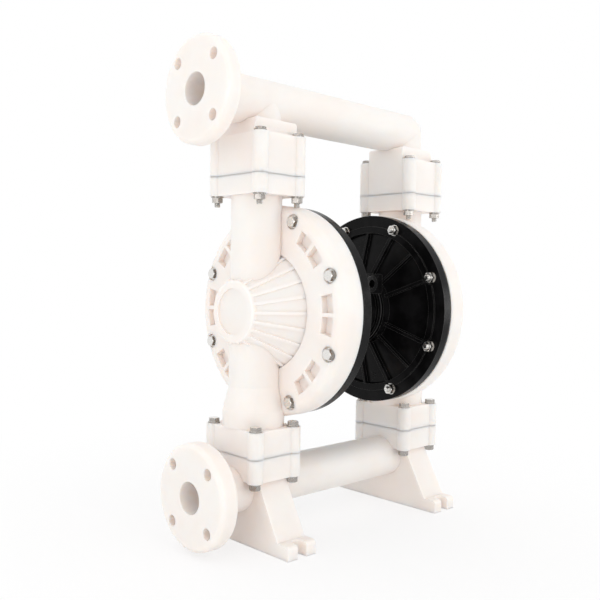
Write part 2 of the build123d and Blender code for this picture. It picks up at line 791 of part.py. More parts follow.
with BuildPart() as suction_seats:
    valve_seats(lower_joint_z)

with BuildPart() as discharge_seats:
    valve_seats(upper_joint_z)

with BuildPart() as seat_gaskets:
    for joint_z in (lower_joint_z, upper_joint_z):
        with BuildSketch(Plane.XY.offset(joint_z - seat_recess_depth)):
            with GridLocations(port_spacing, 0, 2, 1):
                Circle(seat_outer_radius)
                Circle(seat_outer_radius - seat_gasket_width, mode=Mode.SUBTRACT)
        extrude(amount=seat_gasket_thickness)

with BuildPart() as left_suction_ball:
    with Locations((-riser_x, 0, lower_joint_z + ball_rise)):
        Sphere(ball_radius)

with BuildPart() as right_suction_ball:
    with Locations((riser_x, 0, lower_joint_z + ball_rise)):
        Sphere(ball_radius)

with BuildPart() as left_discharge_ball:
    with Locations((-riser_x, 0, upper_joint_z + ball_rise)):
        Sphere(ball_radius)

with BuildPart() as right_discharge_ball:
    with Locations((riser_x, 0, upper_joint_z + ball_rise)):
        Sphere(ball_radius)

# ------------------------------------------------------------------ air valve
valve_back = valve_face + valve_body_depth
spool_reach = valve_body_width / 2 - spool_travel - stop_clearance
land_places = [(i - (spool_land_count - 1) / 2) * spool_land_pitch for i in range(spool_land_count)]

with BuildPart() as valve_gasket:
    with BuildSketch(side_plane(valve_pad_face)):
        RectangleRounded(valve_pad_width, valve_body_height, valve_round)
        with GridLocations(2 * valve_bolt_x, 2 * valve_bolt_z, 2, 2):
            Circle(socket_screw_radius + bolt_clearance, mode=Mode.SUBTRACT)
    extrude(amount=valve_gasket_thickness)

with BuildPart() as air_valve_body:
    with BuildSketch(side_plane(valve_face)):
        RectangleRounded(valve_body_width, valve_body_height, valve_round)
    extrude(amount=valve_body_depth)
    with BuildSketch(Plane(origin=(-valve_body_width / 2, valve_axis_y, pump_axis_height),
                           x_dir=(0, 1, 0), z_dir=(1, 0, 0))):
        Circle(valve_bore_radius)
    extrude(amount=valve_body_width, mode=Mode.SUBTRACT)
    with BuildSketch(side_plane(valve_face)):
        with GridLocations(2 * valve_bolt_x, 2 * valve_bolt_z, 2, 2):
            Circle(socket_screw_radius + bolt_clearance)
    extrude(amount=valve_body_depth, mode=Mode.SUBTRACT)
    with BuildSketch(side_plane(valve_back, facing=-1)):
        with GridLocations(2 * valve_bolt_x, 2 * valve_bolt_z, 2, 2):
            Circle(socket_head_radius + bolt_clearance)
    extrude(amount=socket_head_height, mode=Mode.SUBTRACT)
    with BuildSketch(side_plane(valve_back, facing=-1)):
        Circle(muffler_stub_radius + thread_clearance)
    extrude(amount=muffler_stub_engagement, mode=Mode.SUBTRACT)
    with BuildSketch(side_plane(valve_back, facing=-1)):
        Circle(exhaust_bore_radius)
    extrude(amount=valve_back - valve_axis_y, mode=Mode.SUBTRACT)
    for side in (-1, 1):
        with BuildSketch(Plane(origin=(side * valve_body_width / 2, valve_axis_y, pump_axis_height),
                               x_dir=(0, 1, 0), z_dir=(-side, 0, 0))):
            with GridLocations(2 * cap_screw_y, 2 * cap_screw_z, 2, 2):
                Circle(cap_screw_radius + thread_clearance)
        extrude(amount=cap_screw_engagement, mode=Mode.SUBTRACT)

cap_face = Plane(origin=(valve_body_width / 2, valve_axis_y, pump_axis_height),
                 x_dir=(0, 1, 0), z_dir=(1, 0, 0))
with BuildPart() as valve_end_caps:
    with BuildSketch(cap_face):
        RectangleRounded(valve_cap_depth, valve_cap_height, valve_round)
        with GridLocations(2 * cap_screw_y, 2 * cap_screw_z, 2, 2):
            Circle(cap_screw_radius + bolt_clearance, mode=Mode.SUBTRACT)
    extrude(amount=valve_cap_thickness)
    mirror(about=Plane.YZ)

with BuildPart() as valve_cap_screws:
    with BuildSketch(cap_face.offset(-cap_screw_engagement)):
        with GridLocations(2 * cap_screw_y, 2 * cap_screw_z, 2, 2):
            Circle(cap_screw_radius)
    extrude(amount=cap_screw_engagement + valve_cap_thickness)
    with BuildSketch(cap_face.offset(valve_cap_thickness)):
        with GridLocations(2 * cap_screw_y, 2 * cap_screw_z, 2, 2):
            Circle(cap_screw_head_radius)
    extrude(amount=cap_screw_head_height)
    mirror(about=Plane.YZ)

with BuildPart() as valve_bolts:
    with BuildSketch(side_plane(valve_pad_face - valve_bolt_engagement)):
        with GridLocations(2 * valve_bolt_x, 2 * valve_bolt_z, 2, 2):
            Circle(socket_screw_radius)
    extrude(amount=valve_back - socket_head_height - valve_pad_face + valve_bolt_engagement)
    with BuildSketch(side_plane(valve_back - socket_head_height)):
        with GridLocations(2 * valve_bolt_x, 2 * valve_bolt_z, 2, 2):
            Circle(socket_head_radius)
    extrude(amount=socket_head_height)
    with BuildSketch(side_plane(valve_back, facing=-1)):
        with GridLocations(2 * valve_bolt_x, 2 * valve_bolt_z, 2, 2):
            RegularPolygon(socket_key_radius, 6)
    extrude(amount=socket_key_depth, mode=Mode.SUBTRACT)

spool_plane = Plane(origin=(0, valve_axis_y, pump_axis_height), x_dir=(0, 1, 0), z_dir=(1, 0, 0))
with BuildPart() as valve_spool:
    with BuildSketch(spool_plane.offset(-spool_reach)):
        Circle(spool_neck_radius)
    extrude(amount=2 * spool_reach)
    for place in land_places:
        with BuildSketch(spool_plane.offset(place - spool_land_width / 2)):
            Circle(spool_land_radius)
        extrude(amount=spool_land_width)
        with BuildSketch(spool_plane.offset(place - spool_seal_width / 2)):
            Circle(spool_land_radius)
            Circle(spool_groove_radius, mode=Mode.SUBTRACT)
        extrude(amount=spool_seal_width, mode=Mode.SUBTRACT)

with BuildPart() as spool_seals:
    for place in land_places:
        with BuildSketch(spool_plane.offset(place - spool_seal_width / 2)):
            Circle(valve_bore_radius - running_clearance)
            Circle(spool_groove_radius, mode=Mode.SUBTRACT)
        extrude(amount=spool_seal_width)

with BuildPart() as exhaust_muffler:
    with BuildSketch(side_plane(valve_back - muffler_stub_engagement)):
        Circle(muffler_stub_radius)
        Circle(exhaust_bore_radius, mode=Mode.SUBTRACT)
    extrude(amount=muffler_stub_engagement + muffler_stub_length)
    muffler_start = valve_back + muffler_stub_length
    shape = profile(
        Plane.XY.offset(pump_axis_height),
        [
            (0, muffler_start),
            (muffler_radius, muffler_start),
            (muffler_radius, muffler_start + muffler_length),
            (0, muffler_start + muffler_length),
        ],
        [
            ((muffler_radius, muffler_start), muffler_round),
            ((muffler_radius, muffler_start + muffler_length), muffler_round),
        ],
    )
    revolve(shape, axis=Axis((0, 0, pump_axis_height), (0, 1, 0)))
    for slot in range(muffler_slot_count):
        place = (slot - (muffler_slot_count - 1) / 2) * muffler_slot_pitch
        with BuildSketch(side_plane(muffler_start + muffler_length / 2 + place - muffler_slot_width / 2)):
            Circle(muffler_radius)
            Circle(muffler_radius - muffler_slot_depth, mode=Mode.SUBTRACT)
        extrude(amount=muffler_slot_width, mode=Mode.SUBTRACT)

# ------------------------------------------------------------------ fasteners
def hexagons(plane, places, height):
    """Hexagon prisms at the places on a plane."""
    with BuildSketch(plane) as face:
        with places():
            RegularPolygon(hex_across_flats / 2, 6, major_radius=False)
    extrude(face.sketch, amount=height)


def discs(plane, places, radius, height):
    """Round prisms at the places on a plane."""
    with BuildSketch(plane) as face:
        with places():
            Circle(radius)
    extrude(face.sketch, amount=height)


def bored_hexagons(plane, places, height):
    """Nuts at the places on a plane."""
    with BuildSketch(plane) as face:
        with places():
            RegularPolygon(hex_across_flats / 2, 6, major_radius=False)
            Circle(shank_radius + thread_clearance, mode=Mode.SUBTRACT)
    extrude(face.sketch, amount=height)


def rings(plane, places):
    """Washers at the places on a plane."""
    with BuildSketch(plane) as face:
        with places():
            Circle(washer_radius)
            Circle(disc_hole_radius, mode=Mode.SUBTRACT)
    extrude(face.sketch, amount=washer_thickness)


disc_head_face = disc_spot_face + washer_thickness
disc_nut_face = chamber_back - washer_thickness
disc_stub_end = disc_nut_face - nut_height - thread_stub
with BuildPart() as cover_bolts:
    hexagons(axial_plane(disc_head_face), disc_bolts, head_height)
    discs(axial_plane(disc_stub_end), disc_bolts, shank_radius, disc_head_face - disc_stub_end)
    mirror(about=Plane.YZ)

with BuildPart() as cover_nuts:
    bored_hexagons(axial_plane(disc_nut_face, -1), disc_bolts, nut_height)
    mirror(about=Plane.YZ)

with BuildPart() as cover_washers:
    rings(axial_plane(disc_spot_face), disc_bolts)
    rings(axial_plane(chamber_back, -1), disc_bolts)
    mirror(about=Plane.YZ)

upper_head_face = upper_boss_top + washer_thickness
upper_nut_face = cover_top_foot - washer_thickness
lower_head_face = lower_boss_foot - washer_thickness
lower_nut_face = cover_foot_top + washer_thickness
with BuildPart() as upper_joint_bolts:
    for side in (-1, 1):
        riser_plane = Plane.XY.move(Location((side * riser_x, 0, 0)))
        hexagons(riser_plane.offset(upper_head_face), joint_bolts, head_height)
        stub_end = upper_nut_face - nut_height - thread_stub
        discs(riser_plane.offset(stub_end), joint_bolts, shank_radius, upper_head_face - stub_end)

with BuildPart() as lower_joint_bolts:
    for side in (-1, 1):
        riser_plane = Plane.XY.move(Location((side * riser_x, 0, 0)))
        hexagons(riser_plane.offset(lower_head_face - head_height), joint_bolts, head_height)
        stub_end = lower_nut_face + nut_height + thread_stub
        discs(riser_plane.offset(lower_head_face), joint_bolts, shank_radius, stub_end - lower_head_face)

with BuildPart() as joint_nuts:
    for side in (-1, 1):
        riser_plane = Plane.XY.move(Location((side * riser_x, 0, 0)))
        bored_hexagons(riser_plane.offset(upper_nut_face - nut_height), joint_bolts, nut_height)
        bored_hexagons(riser_plane.offset(lower_nut_face), joint_bolts, nut_height)

with BuildPart() as joint_washers:
    for side in (-1, 1):
        riser_plane = Plane.XY.move(Location((side * riser_x, 0, 0)))
        rings(riser_plane.offset(upper_boss_top), joint_bolts)
        rings(riser_plane.offset(upper_nut_face), joint_bolts)
        rings(riser_plane.offset(lower_head_face), joint_bolts)
        rings(riser_plane.offset(cover_foot_top), joint_bolts)

hub_head_face = chamber_floor - hub_screw_recess
with BuildPart() as centre_bolts:
    with BuildSketch(axial_plane(centre_reach - hub_screw_engagement)):
        with PolarLocations(hub_screw_circle, hub_screw_count, hub_screw_start):
            Circle(socket_screw_radius)
    extrude(amount=hub_head_face - centre_reach + hub_screw_engagement)
    with BuildSketch(axial_plane(hub_head_face)):
        with PolarLocations(hub_screw_circle, hub_screw_count, hub_screw_start):
            Circle(socket_head_radius)
    extrude(amount=socket_head_height)
    mirror(about=Plane.YZ)

# ---------------------------------------------------------------------- export
nodes = {
    "upper_manifold": upper_manifold,
    "lower_manifold": lower_manifold,
    "left_fluid_cover": left_fluid_cover,
    "right_fluid_cover": right_fluid_cover,
    "left_air_chamber": left_air_chamber,
    "right_air_chamber": right_air_chamber,
    "chamber_gaskets": chamber_gaskets,
    "centre_block": centre_block,
    "rod_bushings": rod_bushings,
    "rod_seals": rod_seals,
    "pilot_bushes": pilot_bushes,
    "centre_bolts": centre_bolts,
    "diaphragm_rod": diaphragm_rod,
    "left_inner_plate": left_inner_plate,
    "right_inner_plate": right_inner_plate,
    "left_diaphragm": left_diaphragm,
    "right_diaphragm": right_diaphragm,
    "left_outer_plate": left_outer_plate,
    "right_outer_plate": right_outer_plate,
    "pilot_pin": pilot_pin,
    "suction_seats": suction_seats,
    "discharge_seats": discharge_seats,
    "seat_gaskets": seat_gaskets,
    "left_suction_ball": left_suction_ball,
    "right_suction_ball": right_suction_ball,
    "left_discharge_ball": left_discharge_ball,
    "right_discharge_ball": right_discharge_ball,
    "valve_gasket": valve_gasket,
    "air_valve_body": air_valve_body,
    "valve_end_caps": valve_end_caps,
    "valve_cap_screws": valve_cap_screws,
    "valve_bolts": valve_bolts,
    "valve_spool": valve_spool,
    "spool_seals": spool_seals,
    "exhaust_muffler": exhaust_muffler,
    "cover_bolts": cover_bolts,
    "cover_nuts": cover_nuts,
    "cover_washers": cover_washers,
    "upper_joint_bolts": upper_joint_bolts,
    "lower_joint_bolts": lower_joint_bolts,
    "joint_nuts": joint_nuts,
    "joint_washers": joint_washers,
}
for label, node in nodes.items():
    node.part.label = label
    export_step(node.part, f"parts/{label}.step")
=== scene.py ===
import bmesh
import bpy
from math import cos, pi, radians, sin
from mathutils import Matrix, Vector


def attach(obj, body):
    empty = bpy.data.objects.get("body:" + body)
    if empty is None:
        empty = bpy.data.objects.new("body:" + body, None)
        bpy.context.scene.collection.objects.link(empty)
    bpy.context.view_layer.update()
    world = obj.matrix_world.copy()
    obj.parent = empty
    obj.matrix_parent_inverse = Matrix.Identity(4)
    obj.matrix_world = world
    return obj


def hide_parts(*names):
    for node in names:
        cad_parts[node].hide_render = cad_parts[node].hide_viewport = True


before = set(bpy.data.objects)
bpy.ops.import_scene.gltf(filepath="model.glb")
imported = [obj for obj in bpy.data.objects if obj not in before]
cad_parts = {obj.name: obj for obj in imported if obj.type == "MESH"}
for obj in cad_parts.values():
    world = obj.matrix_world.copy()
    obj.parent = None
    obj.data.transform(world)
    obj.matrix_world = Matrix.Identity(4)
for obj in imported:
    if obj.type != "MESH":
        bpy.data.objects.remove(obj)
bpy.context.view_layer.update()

bl_info = {
    "name": "Diaphragm pump dressing",
    "version": (1, 0, 0),
    "blender": (4, 5, 0),
    "location": "View3D > Sidebar > Pump",
    "description": "Finishes the moulded, cast and turned parts of an air operated diaphragm pump",
    "category": "Object",
}

# Places of the pump's parts, in metres. X runs along the diaphragm rod and Z is up.
CASING = "casing"
PUMP_AXIS = 0.370                   # height of the diaphragm rod
RISER = 0.1825                      # port risers, each side of the middle
LOBE_X, LOBE_Y = 0.0395, 0.052      # bolt lobes of a port joint, from its riser
JOINT_HEIGHTS = (0.585, 0.1445)     # where the covers meet the manifolds
SEAM_REACH = 0.245                  # joint lines stop short of the end flanges
DISC_CIRCLE = 0.155                 # radius of the cover bolts' circle
DISC_BOLT_COUNT = 8
DISC_HEAD_FACE, DISC_NUT_FACE = 0.157, 0.093     # under a cover bolt's head and under its nut

# Faces that turn more than these angles keep a sharp edge, or are rounded.
SMOOTH_ANGLE = radians(28)
STEEL_SMOOTH_ANGLE = radians(24)
ROUNDED_ANGLE = radians(32)

MOULDED_NODES = (
    "upper_manifold", "lower_manifold", "left_fluid_cover", "right_fluid_cover",
    "left_outer_plate", "right_outer_plate", "suction_seats", "discharge_seats",
)
CAST_NODES = (
    "left_air_chamber", "right_air_chamber", "centre_block", "air_valve_body", "valve_end_caps",
)
WASHER_NODES = ("cover_washers", "joint_washers")
SCREW_NODES = ("centre_bolts", "valve_bolts", "valve_cap_screws")
RUBBER_NODES = (
    "left_diaphragm", "right_diaphragm", "rod_seals", "spool_seals", "chamber_gaskets",
    "valve_gasket",
)
FLUOROPLASTIC_NODES = (
    "left_suction_ball", "right_suction_ball", "left_discharge_ball", "right_discharge_ball",
    "seat_gaskets",
)
TURNED_NODES = ("diaphragm_rod", "pilot_pin")
ALUMINIUM_NODES = ("left_inner_plate", "right_inner_plate", "valve_spool")
BRONZE_NODES = ("rod_bushings", "pilot_bushes")
MUFFLER_NODES = ("exhaust_muffler",)

# Finishes of the inner parts: name, light colour, dark colour, cloud size, roughness, its spread,
# grain size, grain depth, metallic, nodes.
INNER_FINISHES = (
    ("black_rubber", (0.025, 0.025, 0.027, 1.0), (0.045, 0.043, 0.041, 1.0),
     0.02, 0.62, 0.15, 0.0012, 0.00008, 0.0, RUBBER_NODES),
    ("fluoroplastic", (0.86, 0.86, 0.84, 1.0), (0.80, 0.80, 0.78, 1.0),
     0.015, 0.30, 0.10, 0.001, 0.00002, 0.0, FLUOROPLASTIC_NODES),
    ("turned_steel", (0.58, 0.57, 0.55, 1.0), (0.44, 0.43, 0.42, 1.0),
     0.004, 0.20, 0.10, 0.0006, 0.00002, 1.0, TURNED_NODES),
    ("turned_aluminium", (0.74, 0.74, 0.75, 1.0), (0.62, 0.62, 0.64, 1.0),
     0.01, 0.34, 0.10, 0.0008, 0.00003, 1.0, ALUMINIUM_NODES),
    ("bearing_bronze", (0.55, 0.36, 0.17, 1.0), (0.40, 0.25, 0.12, 1.0),
     0.006, 0.34, 0.14, 0.0008, 0.00003, 1.0, BRONZE_NODES),
    ("sintered_muffler", (0.045, 0.045, 0.047, 1.0), (0.09, 0.09, 0.09, 1.0),
     0.004, 0.66, 0.14, 0.0009, 0.0003, 0.0, MUFFLER_NODES),
)

# Soft boxes: name, place, width and height, share of the lamp power. All face LAMP_TARGET.
LAMP_TARGET = (0.0, 0.0, 0.38)
LAMPS = (
    ("front_strip", (-0.35, -2.4, 0.45), (0.18, 1.2), 1.0),
    ("right_strip", (1.9, -1.5, 0.45), (0.18, 1.2), 1.3),
    ("left_box", (-2.4, -0.7, 0.6), (1.0, 1.0), 1.6),
    ("top_box", (0.0, 0.0, 2.4), (1.4, 1.4), 0.4),
)

# Bolts of the upper and the lower joints: under the head, under the nut, head thickness, thread shown.
UPRIGHT_JOINTS = ((0.650, 0.552, 0.0040, 0.007), (0.1885, 0.105, 0.0064, 0.001))


# ------------------------------------------------------------------ settings
class PumpMouldingSettings(bpy.types.PropertyGroup):
    """Finish of the moulded polypropylene parts."""

    colour: bpy.props.FloatVectorProperty(
        name="Moulding colour", description="Natural polypropylene, lit side",
        subtype="COLOR", size=4, min=0.0, max=1.0, default=(0.965, 0.885, 0.85, 1.0))
    shade: bpy.props.FloatVectorProperty(
        name="Thick section colour", description="Warmer tone where the wall is thick",
        subtype="COLOR", size=4, min=0.0, max=1.0, default=(0.95, 0.855, 0.81, 1.0))
    # Painted shade: a warm darker colour laid into pockets and corners.
    recess_shade: bpy.props.FloatVectorProperty(
        name="Painted recess shade", description="Warm shade painted into pockets and corners",
        subtype="COLOR", size=4, min=0.0, max=1.0, default=(0.91, 0.80, 0.73, 1.0))
    seam: bpy.props.FloatVectorProperty(
        name="Seam colour", description="Shadow line where two mouldings meet",
        subtype="COLOR", size=4, min=0.0, max=1.0, default=(0.86, 0.72, 0.62, 1.0))
    seam_width: bpy.props.FloatProperty(
        name="Seam width", description="Width of the shadow line at the bolted joints", default=0.0018,
        unit="LENGTH")
    roughness: bpy.props.FloatProperty(
        name="Roughness", description="Dullness of the moulded skin", min=0.0, max=1.0, default=0.40,
        subtype="FACTOR")
    cloud_size: bpy.props.FloatProperty(
        name="Cloud size", description="Size of the faint clouds in the resin", default=0.09,
        unit="LENGTH")
    depth: bpy.props.FloatProperty(
        name="Light depth", description="How far light spreads under the skin", default=0.008,
        unit="LENGTH")
    edge_round: bpy.props.FloatProperty(
        name="Edge round", description="Radius on the moulded edges", default=0.0016, unit="LENGTH")


class PumpCastingSettings(bpy.types.PropertyGroup):
    """Finish of the painted castings."""

    colour: bpy.props.FloatVectorProperty(
        name="Paint colour", description="Gloss enamel on the castings",
        subtype="COLOR", size=4, min=0.0, max=1.0, default=(0.0035, 0.0034, 0.0036, 1.0))
    # Painted highlight: a lighter grey laid along the cast edges and ribs.
    painted_light: bpy.props.FloatVectorProperty(
        name="Painted edge highlight", description="Highlight painted bright along the edges",
        subtype="COLOR", size=4, min=0.0, max=1.0, default=(0.14, 0.137, 0.134, 1.0))
    roughness: bpy.props.FloatProperty(
        name="Roughness", description="Dullness of the paint", min=0.0, max=1.0, default=0.15,
        subtype="FACTOR")
    grain: bpy.props.FloatProperty(
        name="Casting grain", description="Size of the sand grain under the paint", default=0.0022,
        unit="LENGTH")
    edge_round: bpy.props.FloatProperty(
        name="Edge round", description="Radius on the cast edges", default=0.0009, unit="LENGTH")


class PumpFastenerSettings(bpy.types.PropertyGroup):
    """Finish and threads of the stainless fasteners."""

    colour: bpy.props.FloatVectorProperty(
        name="Steel colour", description="Stainless steel",
        subtype="COLOR", size=4, min=0.0, max=1.0, default=(0.80, 0.785, 0.76, 1.0))
    roughness: bpy.props.FloatProperty(
        name="Roughness", description="Dullness of the steel", min=0.0, max=1.0, default=0.20,
        subtype="FACTOR")
    # Painted shade: the flats and threads are kept darker than the ends, standing in for dark
    # reflections.
    flank_shade: bpy.props.FloatVectorProperty(
        name="Painted flank shade", description="Shade painted on the flats and threads",
        subtype="COLOR", size=4, min=0.0, max=1.0, default=(0.38, 0.358, 0.335, 1.0))
    thread_radius: bpy.props.FloatProperty(
        name="Thread radius", description="Outer radius of the M10 thread", default=0.005, unit="LENGTH")
    pitch: bpy.props.FloatProperty(
        name="Thread pitch", description="Distance between thread crests", default=0.0015, unit="LENGTH")
    thread_depth: bpy.props.FloatProperty(
        name="Thread depth", description="From crest to root", default=0.0009, unit="LENGTH")
    across_flats: bpy.props.FloatProperty(
        name="Across flats", description="Width of heads and nuts", default=0.016, unit="LENGTH")
    head_height: bpy.props.FloatProperty(
        name="Head height", description="Thickness of a cover bolt's head", default=0.0064, unit="LENGTH")
    nut_height: bpy.props.FloatProperty(
        name="Nut height", description="Thickness of a nut", default=0.0084, unit="LENGTH")
    stub: bpy.props.FloatProperty(
        name="Thread showing", description="Thread beyond each nut on the covers", default=0.005,
        unit="LENGTH")
    edge_round: bpy.props.FloatProperty(
        name="Edge round", description="Chamfer on heads and nuts", default=0.0007, unit="LENGTH")


class PumpStageSettings(bpy.types.PropertyGroup):
    """Camera, lamps and floor."""

    lens: bpy.props.FloatProperty(
        name="Lens", description="Focal length", default=46.4, unit="CAMERA")
    yaw: bpy.props.FloatProperty(
        name="Yaw", description="Direction of view, from +X towards +Y", default=radians(46.02),
        subtype="ANGLE")
    pitch: bpy.props.FloatProperty(
        name="Pitch", description="How far the camera looks down", default=radians(1.77), subtype="ANGLE")
    roll: bpy.props.FloatProperty(
        name="Roll", description="Turn about the line of sight", default=radians(1.02), subtype="ANGLE")
    place: bpy.props.FloatVectorProperty(
        name="Camera place", description="Position of the camera", subtype="XYZ", unit="LENGTH",
        default=(-0.9972, -0.9483, 0.428))
    floor_colour: bpy.props.FloatVectorProperty(
        name="Floor colour", description="Paper under the pump", subtype="COLOR", size=4,
        min=0.0, max=1.0, default=(0.96, 0.96, 0.96, 1.0))
    fill: bpy.props.FloatProperty(
        name="Fill", description="Strength of the light from all round", min=0.0, default=0.97)
    lamp_power: bpy.props.FloatProperty(
        name="Lamp power", description="Power of the main soft box", default=3.2, unit="POWER")


# ------------------------------------------------------------- node building
def node_group(name, inputs, outputs):
    """A new shader group with named sockets; returns the tree, its input and output nodes."""
    tree = bpy.data.node_groups.new(name, "ShaderNodeTree")
    for label, kind, default in inputs:
        socket = tree.interface.new_socket(name=label, in_out="INPUT", socket_type=kind)
        socket.default_value = default
    for label, kind in outputs:
        tree.interface.new_socket(name=label, in_out="OUTPUT", socket_type=kind)
    return tree, tree.nodes.new("NodeGroupInput"), tree.nodes.new("NodeGroupOutput")


def add_node(tree, kind, **values):
    """A node with its sockets and properties set by name."""
    node = tree.nodes.new(kind)
    for key, value in values.items():
        if key in node.inputs:
            node.inputs[key].default_value = value
        else:
            setattr(node, key, value)
    return node


def math_node(tree, operation, first, second=None):
    """A Math node fed by sockets or numbers."""
    node = add_node(tree, "ShaderNodeMath", operation=operation)
    for slot, value in ((0, first), (1, second)):
        if value is None:
            continue
        if isinstance(value, bpy.types.NodeSocket):
            tree.links.new(value, node.inputs[slot])
        else:
            node.inputs[slot].default_value = value
    return node.outputs[0]


def clouds_group():
    """Soft clouds of one colour in another, with a matching roughness."""
    tree, source, sink = node_group(
        "Clouds",
        (
            ("Size", "NodeSocketFloat", 0.1),
            ("Light", "NodeSocketColor", (0.8, 0.8, 0.8, 1.0)),
            ("Dark", "NodeSocketColor", (0.6, 0.6, 0.6, 1.0)),
            ("Roughness", "NodeSocketFloat", 0.4),
            ("Roughness spread", "NodeSocketFloat", 0.08),
        ),
        (("Colour", "NodeSocketColor"), ("Roughness", "NodeSocketFloat"), ("Mask", "NodeSocketFloat")),
    )
    place = tree.nodes.new("ShaderNodeTexCoord")
    noise = add_node(tree, "ShaderNodeTexNoise", Detail=5.0, Roughness=0.55)
    tree.links.new(place.outputs["Object"], noise.inputs["Vector"])
    tree.links.new(math_node(tree, "DIVIDE", 1.0, source.outputs["Size"]), noise.inputs["Scale"])
    ramp = add_node(tree, "ShaderNodeMapRange", interpolation_type="SMOOTHSTEP")
    ramp.inputs["From Min"].default_value = 0.35
    ramp.inputs["From Max"].default_value = 0.68
    tree.links.new(noise.outputs["Fac"], ramp.inputs["Value"])
    mix = add_node(tree, "ShaderNodeMix", data_type="RGBA")
    tree.links.new(ramp.outputs["Result"], mix.inputs["Factor"])
    tree.links.new(source.outputs["Light"], mix.inputs["A"])
    tree.links.new(source.outputs["Dark"], mix.inputs["B"])
    tree.links.new(mix.outputs["Result"], sink.inputs["Colour"])
    spread = math_node(tree, "MULTIPLY", ramp.outputs["Result"], source.outputs["Roughness spread"])
    tree.links.new(math_node(tree, "ADD", source.outputs["Roughness"], spread), sink.inputs["Roughness"])
    tree.links.new(ramp.outputs["Result"], sink.inputs["Mask"])
    return tree


def grain_group():
    """Fine grain: a height field from two sizes of noise."""
    tree, source, sink = node_group(
        "Grain",
        (("Size", "NodeSocketFloat", 0.002), ("Coarse share", "NodeSocketFloat", 0.5)),
        (("Height", "NodeSocketFloat"),),
    )
    place = tree.nodes.new("ShaderNodeTexCoord")
    scale = math_node(tree, "DIVIDE", 1.0, source.outputs["Size"])
    fine = add_node(tree, "ShaderNodeTexNoise", Detail=3.0)
    coarse = add_node(tree, "ShaderNodeTexNoise", Detail=2.0)
    for noise in (fine, coarse):
        tree.links.new(place.outputs["Object"], noise.inputs["Vector"])
    tree.links.new(scale, fine.inputs["Scale"])
    tree.links.new(math_node(tree, "MULTIPLY", scale, 0.12), coarse.inputs["Scale"])
    wide = math_node(tree, "MULTIPLY", coarse.outputs["Fac"], source.outputs["Coarse share"])
    tree.links.new(math_node(tree, "ADD", fine.outputs["Fac"], wide), sink.inputs["Height"])
    return tree


def seam_group():
    """Mask of a thin line round the part at one height."""
    tree, source, sink = node_group(
        "Seam",
        (("Height", "NodeSocketFloat", 0.5), ("Width", "NodeSocketFloat", 0.001),
         ("Reach", "NodeSocketFloat", 1.0)),
        (("Mask", "NodeSocketFloat"),),
    )
    place = tree.nodes.new("ShaderNodeTexCoord")
    split = tree.nodes.new("ShaderNodeSeparateXYZ")
    tree.links.new(place.outputs["Object"], split.inputs["Vector"])
    above = math_node(tree, "SUBTRACT", split.outputs["Z"], source.outputs["Height"])
    away = math_node(tree, "ABSOLUTE", above)
    line = add_node(tree, "ShaderNodeMapRange", interpolation_type="SMOOTHSTEP")
    tree.links.new(away, line.inputs["Value"])
    tree.links.new(math_node(tree, "MULTIPLY", source.outputs["Width"], 0.25), line.inputs["From Min"])
    tree.links.new(math_node(tree, "MULTIPLY", source.outputs["Width"], 0.5), line.inputs["From Max"])
    line.inputs["To Min"].default_value = 1.0
    line.inputs["To Max"].default_value = 0.0
    # Painted shadow line, fading in patches along the joint.
    patches = add_node(tree, "ShaderNodeTexNoise", Scale=28.0, Detail=2.0)
    tree.links.new(place.outputs["Object"], patches.inputs["Vector"])
    painted_light = math_node(tree, "ADD", math_node(tree, "MULTIPLY", patches.outputs["Fac"], 0.9), 0.3)
    sideways = math_node(tree, "ABSOLUTE", split.outputs["X"])
    within = math_node(tree, "LESS_THAN", sideways, source.outputs["Reach"])
    kept = math_node(tree, "MULTIPLY", line.outputs["Result"], within)
    strength = math_node(tree, "MULTIPLY", kept, painted_light)
    tree.links.new(math_node(tree, "MINIMUM", strength, 1.0), sink.inputs["Mask"])
    return tree


def edge_group():
    """Mask along the edges, where a rounded normal leaves the face's own; it places painted highlights
    and painted edge shade.
    """
    tree, source, sink = node_group(
        "Edges",
        (("Radius", "NodeSocketFloat", 0.001), ("Strength", "NodeSocketFloat", 3.0)),
        (("Mask", "NodeSocketFloat"),),
    )
    rounded = tree.nodes.new("ShaderNodeBevel")
    rounded.samples = 6
    tree.links.new(source.outputs["Radius"], rounded.inputs["Radius"])
    face = tree.nodes.new("ShaderNodeNewGeometry")
    agree = add_node(tree, "ShaderNodeVectorMath", operation="DOT_PRODUCT")
    tree.links.new(rounded.outputs["Normal"], agree.inputs[0])
    tree.links.new(face.outputs["Normal"], agree.inputs[1])
    parting = math_node(tree, "SUBTRACT", 1.0, agree.outputs["Value"])
    strong = math_node(tree, "MULTIPLY", parting, source.outputs["Strength"])
    tree.links.new(math_node(tree, "MINIMUM", strong, 1.0), sink.inputs["Mask"])
    return tree


def recess_shade_group():
    """Mask that grows in corners and pockets, where painted shade is laid."""
    tree, source, sink = node_group(
        "Recess shade", (("Reach", "NodeSocketFloat", 0.02),), (("Mask", "NodeSocketFloat"),))
    shelter = tree.nodes.new("ShaderNodeAmbientOcclusion")
    shelter.samples = 6
    tree.links.new(source.outputs["Reach"], shelter.inputs["Distance"])
    tree.links.new(math_node(tree, "SUBTRACT", 1.0, shelter.outputs["AO"]), sink.inputs["Mask"])
    return tree


